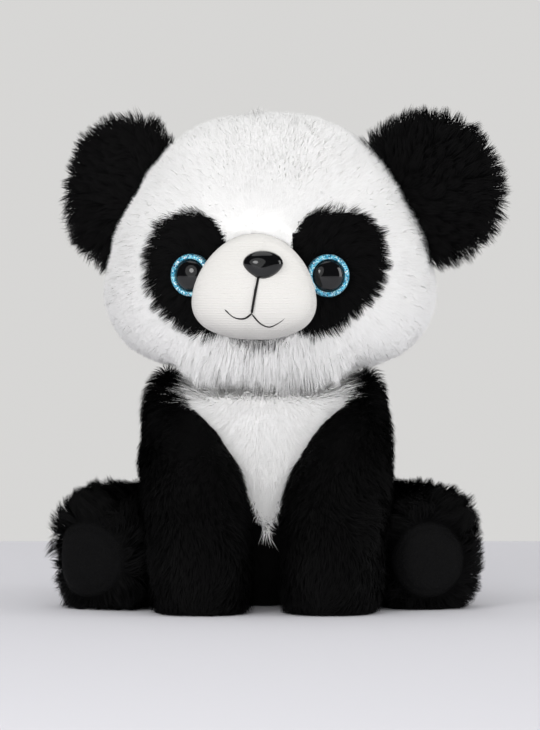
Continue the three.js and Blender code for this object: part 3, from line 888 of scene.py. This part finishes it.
def grid_faces(rows, columns):
    """Quads of a grid of rows by columns points, closed round the columns."""
    faces = []
    for i in range(rows - 1):
        for j in range(columns):
            k = (j + 1) % columns
            faces.append((i * columns + j, i * columns + k, (i + 1) * columns + k, (i + 1) * columns + j))
    return np.array(faces)


def put(points, place):
    """The points moved from a place's own coordinates to the model's."""
    return points @ np.array(place.to_3x3()).T + np.array(place.translation)


def finished(piece, body, slot, colour, *nodes):
    piece.data.materials.append(colour)
    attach(piece, body)
    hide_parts(*nodes)


def turned(name, outline, segments, place):
    """A form turned about its own Y, from radius and height, in mm."""
    angle = np.arange(segments) * 2 * math.pi / segments
    rows = [
        np.stack([r * np.cos(angle), np.full(segments, h), r * np.sin(angle)], 1) for r, h in outline
    ]
    v = put(np.vstack(rows), place)
    return mesh_of(name, v, [grid_faces(len(outline), segments)[:, ::-1]])


def dome_outline(radius, rise, steps):
    turns = np.linspace(0, math.pi / 2 - 0.002, steps)
    return [(radius * math.cos(t), rise * math.sin(t)) for t in turns]


def gloss_material():
    made, tree, shader = material("black_moulding", (0.0025, 0.0025, 0.003), 0.06, coat=0.25, specular=0.5)
    shader.inputs["Coat Roughness"].default_value = 0.04
    noise = node(tree, "ShaderNodeTexNoise", Scale=0.35, Detail=3.0)
    link(tree, place_in_mm(tree), noise.inputs["Vector"])
    rough = node(tree, "ShaderNodeMapRange", To_Min=0.04, To_Max=0.1)
    link(tree, noise.outputs["Fac"], rough.inputs["Value"])
    link(tree, rough.outputs["Result"], shader.inputs["Roughness"])
    return made


def glitter_material():
    """Flakes of glitter, each a cell with its own colour and tilt, under a clear coat. The white flakes are
    the glitter's own pale flakes and also a painted sparkle.
    """
    made, tree, shader = material("blue_glitter", (0.1, 0.4, 0.6), 0.3, coat=0.5)
    shader.inputs["Metallic"].default_value = 0.4
    where = place_in_mm(tree)
    flakes = node(tree, "ShaderNodeTexVoronoi", Scale=2.1)
    link(tree, where, flakes.inputs["Vector"])
    pick = tree.nodes.new("ShaderNodeSeparateColor")
    link(tree, flakes.outputs["Color"], pick.inputs["Color"])
    ramp = tree.nodes.new("ShaderNodeValToRGB")
    ramp.color_ramp.interpolation = "CONSTANT"
    # the white stop is pale flakes and also a painted sparkle
    stops = [
        (0.0, (0.006, 0.08, 0.19)), (0.16, (0.02, 0.24, 0.42)), (0.36, (0.07, 0.46, 0.68)),
        (0.6, (0.22, 0.72, 0.9)), (0.8, (0.6, 0.95, 1.0)), (0.91, (1.0, 1.0, 1.0)),
    ]
    ramp.color_ramp.elements[0].color = (*stops[0][1], 1)
    ramp.color_ramp.elements.remove(ramp.color_ramp.elements[1])
    for at, colour in stops[1:]:
        ramp.color_ramp.elements.new(at).color = (*colour, 1)
    link(tree, pick.outputs["Red"], ramp.inputs["Fac"])
    link(tree, ramp.outputs["Color"], shader.inputs["Base Color"])
    tilt = node(tree, "ShaderNodeBump", Strength=0.6, Distance=0.0003)
    link(tree, pick.outputs["Green"], tilt.inputs["Height"])
    link(tree, tilt.outputs["Normal"], shader.inputs["Normal"])
    return made


def knit_material():
    """A fine smooth knit: faint ribs across, softly uneven, and a nap of short fibre."""
    made, tree, shader = material("white_knit", (0.60, 0.59, 0.57), 0.92, sheen=0.1, specular=0.1)
    where = place_in_mm(tree)
    ribs = node(tree, "ShaderNodeTexWave", Scale=0.25, Distortion=0.8, Detail=2.0, Detail_Scale=1.5)
    ribs.bands_direction = "Z"
    link(tree, where, ribs.inputs["Vector"])
    nap = node(tree, "ShaderNodeTexNoise", Scale=1.6, Detail=6.0, Roughness=0.7)
    link(tree, where, nap.inputs["Vector"])
    mixed = node(tree, "ShaderNodeMath")
    mixed.operation = "MULTIPLY_ADD"
    mixed.inputs[1].default_value = 0.35
    link(tree, ribs.outputs["Fac"], mixed.inputs[0])
    link(tree, nap.outputs["Fac"], mixed.inputs[2])
    bump = node(tree, "ShaderNodeBump", Strength=0.6, Distance=0.0005)
    link(tree, mixed.outputs["Value"], bump.inputs["Height"])
    link(tree, bump.outputs["Normal"], shader.inputs["Normal"])
    tone = mixed_colour(tree, (0.585, 0.572, 0.55), (0.64, 0.628, 0.607), nap.outputs["Fac"])
    link(tree, tone, shader.inputs["Base Color"])
    return made


def bumpy_material(
    name, dark, light, roughness, scale, strength, distance, sheen=0.0, specular=0.3, stretch=None
):
    """Noise in colour and height, for plain cloth, fibre, thread and dull plastic."""
    made, tree, shader = material(name, light, roughness, sheen, specular=specular)
    where = place_in_mm(tree)
    if stretch:
        mapping = node(tree, "ShaderNodeMapping", Scale=stretch)
        link(tree, where, mapping.inputs["Vector"])
        where = mapping.outputs["Vector"]
    noise = node(tree, "ShaderNodeTexNoise", Scale=scale, Detail=5.0, Roughness=0.65)
    link(tree, where, noise.inputs["Vector"])
    tone = mixed_colour(tree, dark, light, noise.outputs["Fac"])
    link(tree, tone, shader.inputs["Base Color"])
    bump = node(tree, "ShaderNodeBump", Strength=strength, Distance=distance)
    link(tree, noise.outputs["Fac"], bump.inputs["Height"])
    link(tree, bump.outputs["Normal"], shader.inputs["Normal"])
    return made


GLOSS = gloss_material()
GLITTER = glitter_material()
KNIT = knit_material()
SOLE_PILE = bumpy_material(
    "sole_pile", (0.001, 0.001, 0.0011), (0.0052, 0.0052, 0.0055), 0.75, 0.9, 0.9, 0.0012, specular=0.12
)
THREAD = bumpy_material("black_thread", (0.003, 0.003, 0.003), (0.012, 0.012, 0.012), 0.8, 4.0, 0.5, 0.0002)
FIBRE = bumpy_material("filling_fibre", (0.62, 0.61, 0.59), (0.86, 0.86, 0.85), 1.0, 0.5, 1.0, 0.003, 0.2)
CANVAS = bumpy_material("pouch_canvas", (0.42, 0.38, 0.31), (0.6, 0.56, 0.48), 0.9, 2.0, 0.6, 0.0005)
SATIN = bumpy_material(
    "label_satin", (0.8, 0.8, 0.79), (0.88, 0.88, 0.87), 0.45, 1.5, 0.3, 0.0002, stretch=(6, 1, 0.3)
)
WASHER = bumpy_material("washer_plastic", (0.66, 0.66, 0.65), (0.74, 0.74, 0.73), 0.5, 0.9, 0.2, 0.0002)

CARRIED = {  # finishes of the CAD nodes that stay
    "fibre": FIBRE, "pouch_canvas": CANVAS, "label_satin": SATIN, "white_washer": WASHER,
    "white_plush": FIBRE,
}
for entry in frame["record"]["subparts"]:
    finish = CARRIED.get(entry["material_slot"])
    if finish:
        carried = frame["nodes"][entry["node"]]
        carried.data.materials.clear()
        carried.data.materials.append(finish)

for name, side in SIDES.items():
    crown = dome_outline(EYE["pupil"], EYE["rise"], 26)
    finished(
        turned(f"eye_{name}", [(EYE["pupil"], -5.0), *crown], 72, EYES[name]),
        "head", "black_gloss", GLOSS, f"eye_dome_{name}",
    )
    inner = EYE["pupil"] + 0.05
    mid, half = (inner + EYE["radius"]) / 2, (EYE["radius"] - inner) / 2
    rim = [(EYE["radius"], -4.0)]
    for t in np.linspace(0, math.pi, 13):
        rim.append((mid + half * math.cos(t), 0.6 + 1.3 * math.sin(t) + 0.25 * (1 - math.cos(t))))
    rim.append((inner, -4.0))
    finished(
        turned(f"eye_ring_{name}", rim, 96, EYES[name]), "head", "blue_glitter", GLITTER, f"eye_ring_{name}",
    )


def muzzle_cover():
    """The knit of the muzzle, drawn in along its seam."""
    skin = skins["muzzle"]
    v = skin.v.copy()
    local = local_to(HEAD_PLACE, v)
    off = local[:, 0] - MUZZLE_SEAM["x"] - MUZZLE_SEAM["slant"] * (local[:, 2] - MUZZLE_SEAM["z"])
    front = np.clip((-local[:, 1] - 60) / 20, 0, 1)
    pull = 0.55 * np.exp(-((off / 0.75) ** 2)) + 0.5 * np.exp(-((off / 5.0) ** 2))
    v -= skin.normals * (pull * front)[:, None]
    v += skin.normals * (waves(v, 26, 41)[:, :1] * 0.22)
    quads = np.array([f for f in skin.faces if len(f) == 4])
    ends = np.array([f for f in skin.faces if len(f) == 3])
    piece = mesh_of("muzzle_knit", v, [quads, ends])
    finished(piece, "head", "white_knit", KNIT, "muzzle_panel_left", "muzzle_panel_right")


def nose():
    """A moulded nose: a dome on an outline that is wide above and narrow below."""
    point = on_surface(skins["muzzle"], NOSE["x"], NOSE["z"])
    turn = HEAD_PLACE.to_3x3().to_4x4() @ Matrix.Rotation(math.radians(180 - NOSE["pitch"]), 4, "X")
    place = Matrix.Translation(point) @ turn
    segments = 80
    angle = np.arange(segments) * 2 * math.pi / segments
    x, z = np.cos(angle), np.sin(angle)  # z is down on the face
    half_wide = 10.1 * (1 - 0.25 * np.maximum(z, 0) ** 1.5)
    half_tall = np.where(z > 0, 7.9, 6.6)

    def ring(share, height):
        return np.stack([half_wide * x * share, np.full(segments, height), half_tall * z * share], 1)

    rows = [ring(0.93, -3.0)]
    for t in np.linspace(0.0, math.pi / 2 - 0.01, 26):
        rows.append(ring(math.cos(t) ** 0.9, 5.4 * math.sin(t)))
    v = put(np.vstack(rows), place)
    piece = mesh_of("nose_moulding", v, [grid_faces(len(rows), segments)[:, ::-1]])
    finished(piece, "head", "black_gloss", GLOSS, "nose")


THREAD_SIDES = 12


def tube(points, radii):
    """Vertices of a round thread, with rounded ends where the radii fall to nothing."""
    tangent = unit(np.gradient(points, axis=0))
    normal = unit(np.cross(tangent, [0.0, 1.0, 0.0]))
    other = np.cross(tangent, normal)
    angle = np.arange(THREAD_SIDES) * 2 * math.pi / THREAD_SIDES
    around = normal[:, None] * np.cos(angle)[:, None] + other[:, None] * np.sin(angle)[:, None]
    return (points[:, None] + around * np.asarray(radii)[:, None, None]).reshape(-1, 3)


def mouth():
    """The stitched mouth, a twisted thread laid on the knit."""
    v, polygons, first = [], [], 0
    run = np.linspace(0, 1, 90)
    for line, radius in zip(MOUTH_LINES, MOUTH_RADII):
        flat = spline([(x, 0, z) for x, z in line])(run)
        laid = np.array([on_surface(skins["muzzle"], x, z)[:] for x, _, z in flat])
        laid[:, 1] += 0.15
        ends = np.sqrt(np.clip(np.minimum(run, 1 - run) / 0.06, 0.0004, 1))
        radii = radius * ends * (1 + 0.12 * np.sin(run * 140))
        v.append(tube(laid, radii))
        polygons.append(grid_faces(len(run), THREAD_SIDES) + first)
        first += len(v[-1])
    piece = mesh_of("mouth_thread", np.vstack(v), [np.vstack(polygons)])
    finished(piece, "head", "black_thread", THREAD, "mouth_stitch")


muzzle_cover()
nose()
mouth()


def sole(name):
    """A smooth oval of short pile, let into the end of the foot."""
    skin = skins[f"leg_{name}"]
    at, across, ahead = sole_frame(name)
    rings, segments = 26, 72
    angle = np.arange(segments) * 2 * math.pi / segments
    rows = []
    for r in np.linspace(1.04, 0.005, rings):
        u = r * SOLE["half_width"] * np.cos(angle)
        w = r * SOLE["half_height"] * np.sin(angle)
        ring = []
        for a, b in zip(u, w):
            start = at + across * a + UP * b + ahead * 40
            hit = skin.tree.ray_cast(Vector(start), Vector(-ahead))[0]
            rise = 1.5 * (1 - min(r, 1.0) ** 6) + 0.3 - (0.9 if r > 1.01 else 0)
            rise -= 0.45 * math.exp(-(((r - 0.86) / 0.035) ** 2))
            ring.append(np.array(hit) + ahead * rise)
        rows.append(np.array(ring))
    v = np.vstack(rows)
    v += ahead * waves(v, 12, 61)[:, :1] * 0.15
    piece = mesh_of(f"sole_{name}", v, [grid_faces(rings, segments)])
    finished(piece, f"leg_{name}", "black_sole", SOLE_PILE, f"foot_pad_{name}")


for name in SIDES:
    sole(name)

# ---------- stage ----------

CAMERA_PLACE = (0.002, -3.0, 0.26)
CAMERA_PITCH = 0.04615  # radians below the horizontal
LENS = 288.0
TABLE_END = 400  # mm behind the toy, where the floor ends and the plain wall shows


def stage():
    half, near, far = 3000, -3600, TABLE_END
    corners = [(-half, near, 0), (half, near, 0), (half, far, 0), (-half, far, 0)]
    floor = mesh_of("floor", np.array(corners, float), [np.array([(0, 1, 2, 3)])])
    floor.data.materials.append(material("floor_paint", (0.66, 0.655, 0.69), 0.85)[0])


def lamp(name, place, target, shape, size, power, glossy=True, spread=math.pi):
    light = bpy.data.lights.new(name, "AREA")
    light.shape = shape
    light.size, light.size_y = size
    light.spread = spread
    light.energy = power
    holder = bpy.data.objects.new(name, light)
    holder.location = place
    holder.rotation_euler = (Vector(target) - Vector(place)).to_track_quat("-Z", "Y").to_euler()
    holder.visible_glossy = glossy
    bpy.context.scene.collection.objects.link(holder)


stage()
lamp("key", (-0.75, -1.3, 0.66), (0, 0, 0.13), "DISK", (0.5, 0.5), 3.2)
lamp("key_halo", (-0.78, -1.36, 0.68), (0, 0, 0.13), "DISK", (1.6, 1.6), 5)
lamp("front_fill", (0.1, -1.5, 0.02), (0, 0, 0.12), "DISK", (0.9, 0.9), 4, glossy=False, spread=1.3)
lamp("side_card", (1.9, -0.35, 0.6), (0, 0, 0.13), "RECTANGLE", (0.8, 1.2), 9)
lamp("top", (-0.2, 0.1, 2.0), (0, 0, 0.1), "DISK", (1.8, 1.8), 8)


def mixed_shader(tree, first, second, factor):
    mix = tree.nodes.new("ShaderNodeMixShader")
    link(tree, factor, mix.inputs["Fac"])
    link(tree, first, mix.inputs[1])
    link(tree, second, mix.inputs[2])
    return mix.outputs["Shader"]


def studio():
    """A pale wall for the camera, soft light for the surfaces, and a dark room in the reflections."""
    world = bpy.data.worlds.new("studio")
    bpy.context.scene.world = world
    world.use_nodes = True
    tree = world.node_tree
    wall = tree.nodes["Background"]
    wall.inputs["Color"].default_value = (0.68, 0.675, 0.665, 1)
    light = node(tree, "ShaderNodeBackground", Color=(0.72, 0.72, 0.72, 1))
    dark = node(tree, "ShaderNodeBackground", Color=(0.03, 0.03, 0.03, 1))
    rays = tree.nodes.new("ShaderNodeLightPath").outputs
    around = mixed_shader(tree, light.outputs[0], dark.outputs[0], rays["Is Glossy Ray"])
    seen = mixed_shader(tree, around, wall.outputs[0], rays["Is Camera Ray"])
    link(tree, seen, tree.nodes["World Output"].inputs["Surface"])


studio()

camera = bpy.data.objects.new("camera", bpy.data.cameras.new("camera"))
bpy.context.scene.collection.objects.link(camera)
bpy.context.scene.camera = camera
camera.data.sensor_width = 36
camera.data.lens = LENS
camera.location = CAMERA_PLACE
camera.rotation_euler = (math.radians(90) - CAMERA_PITCH, 0, 0)
camera.data.clip_end = 30
bpy.context.scene.view_settings.view_transform = "Standard"
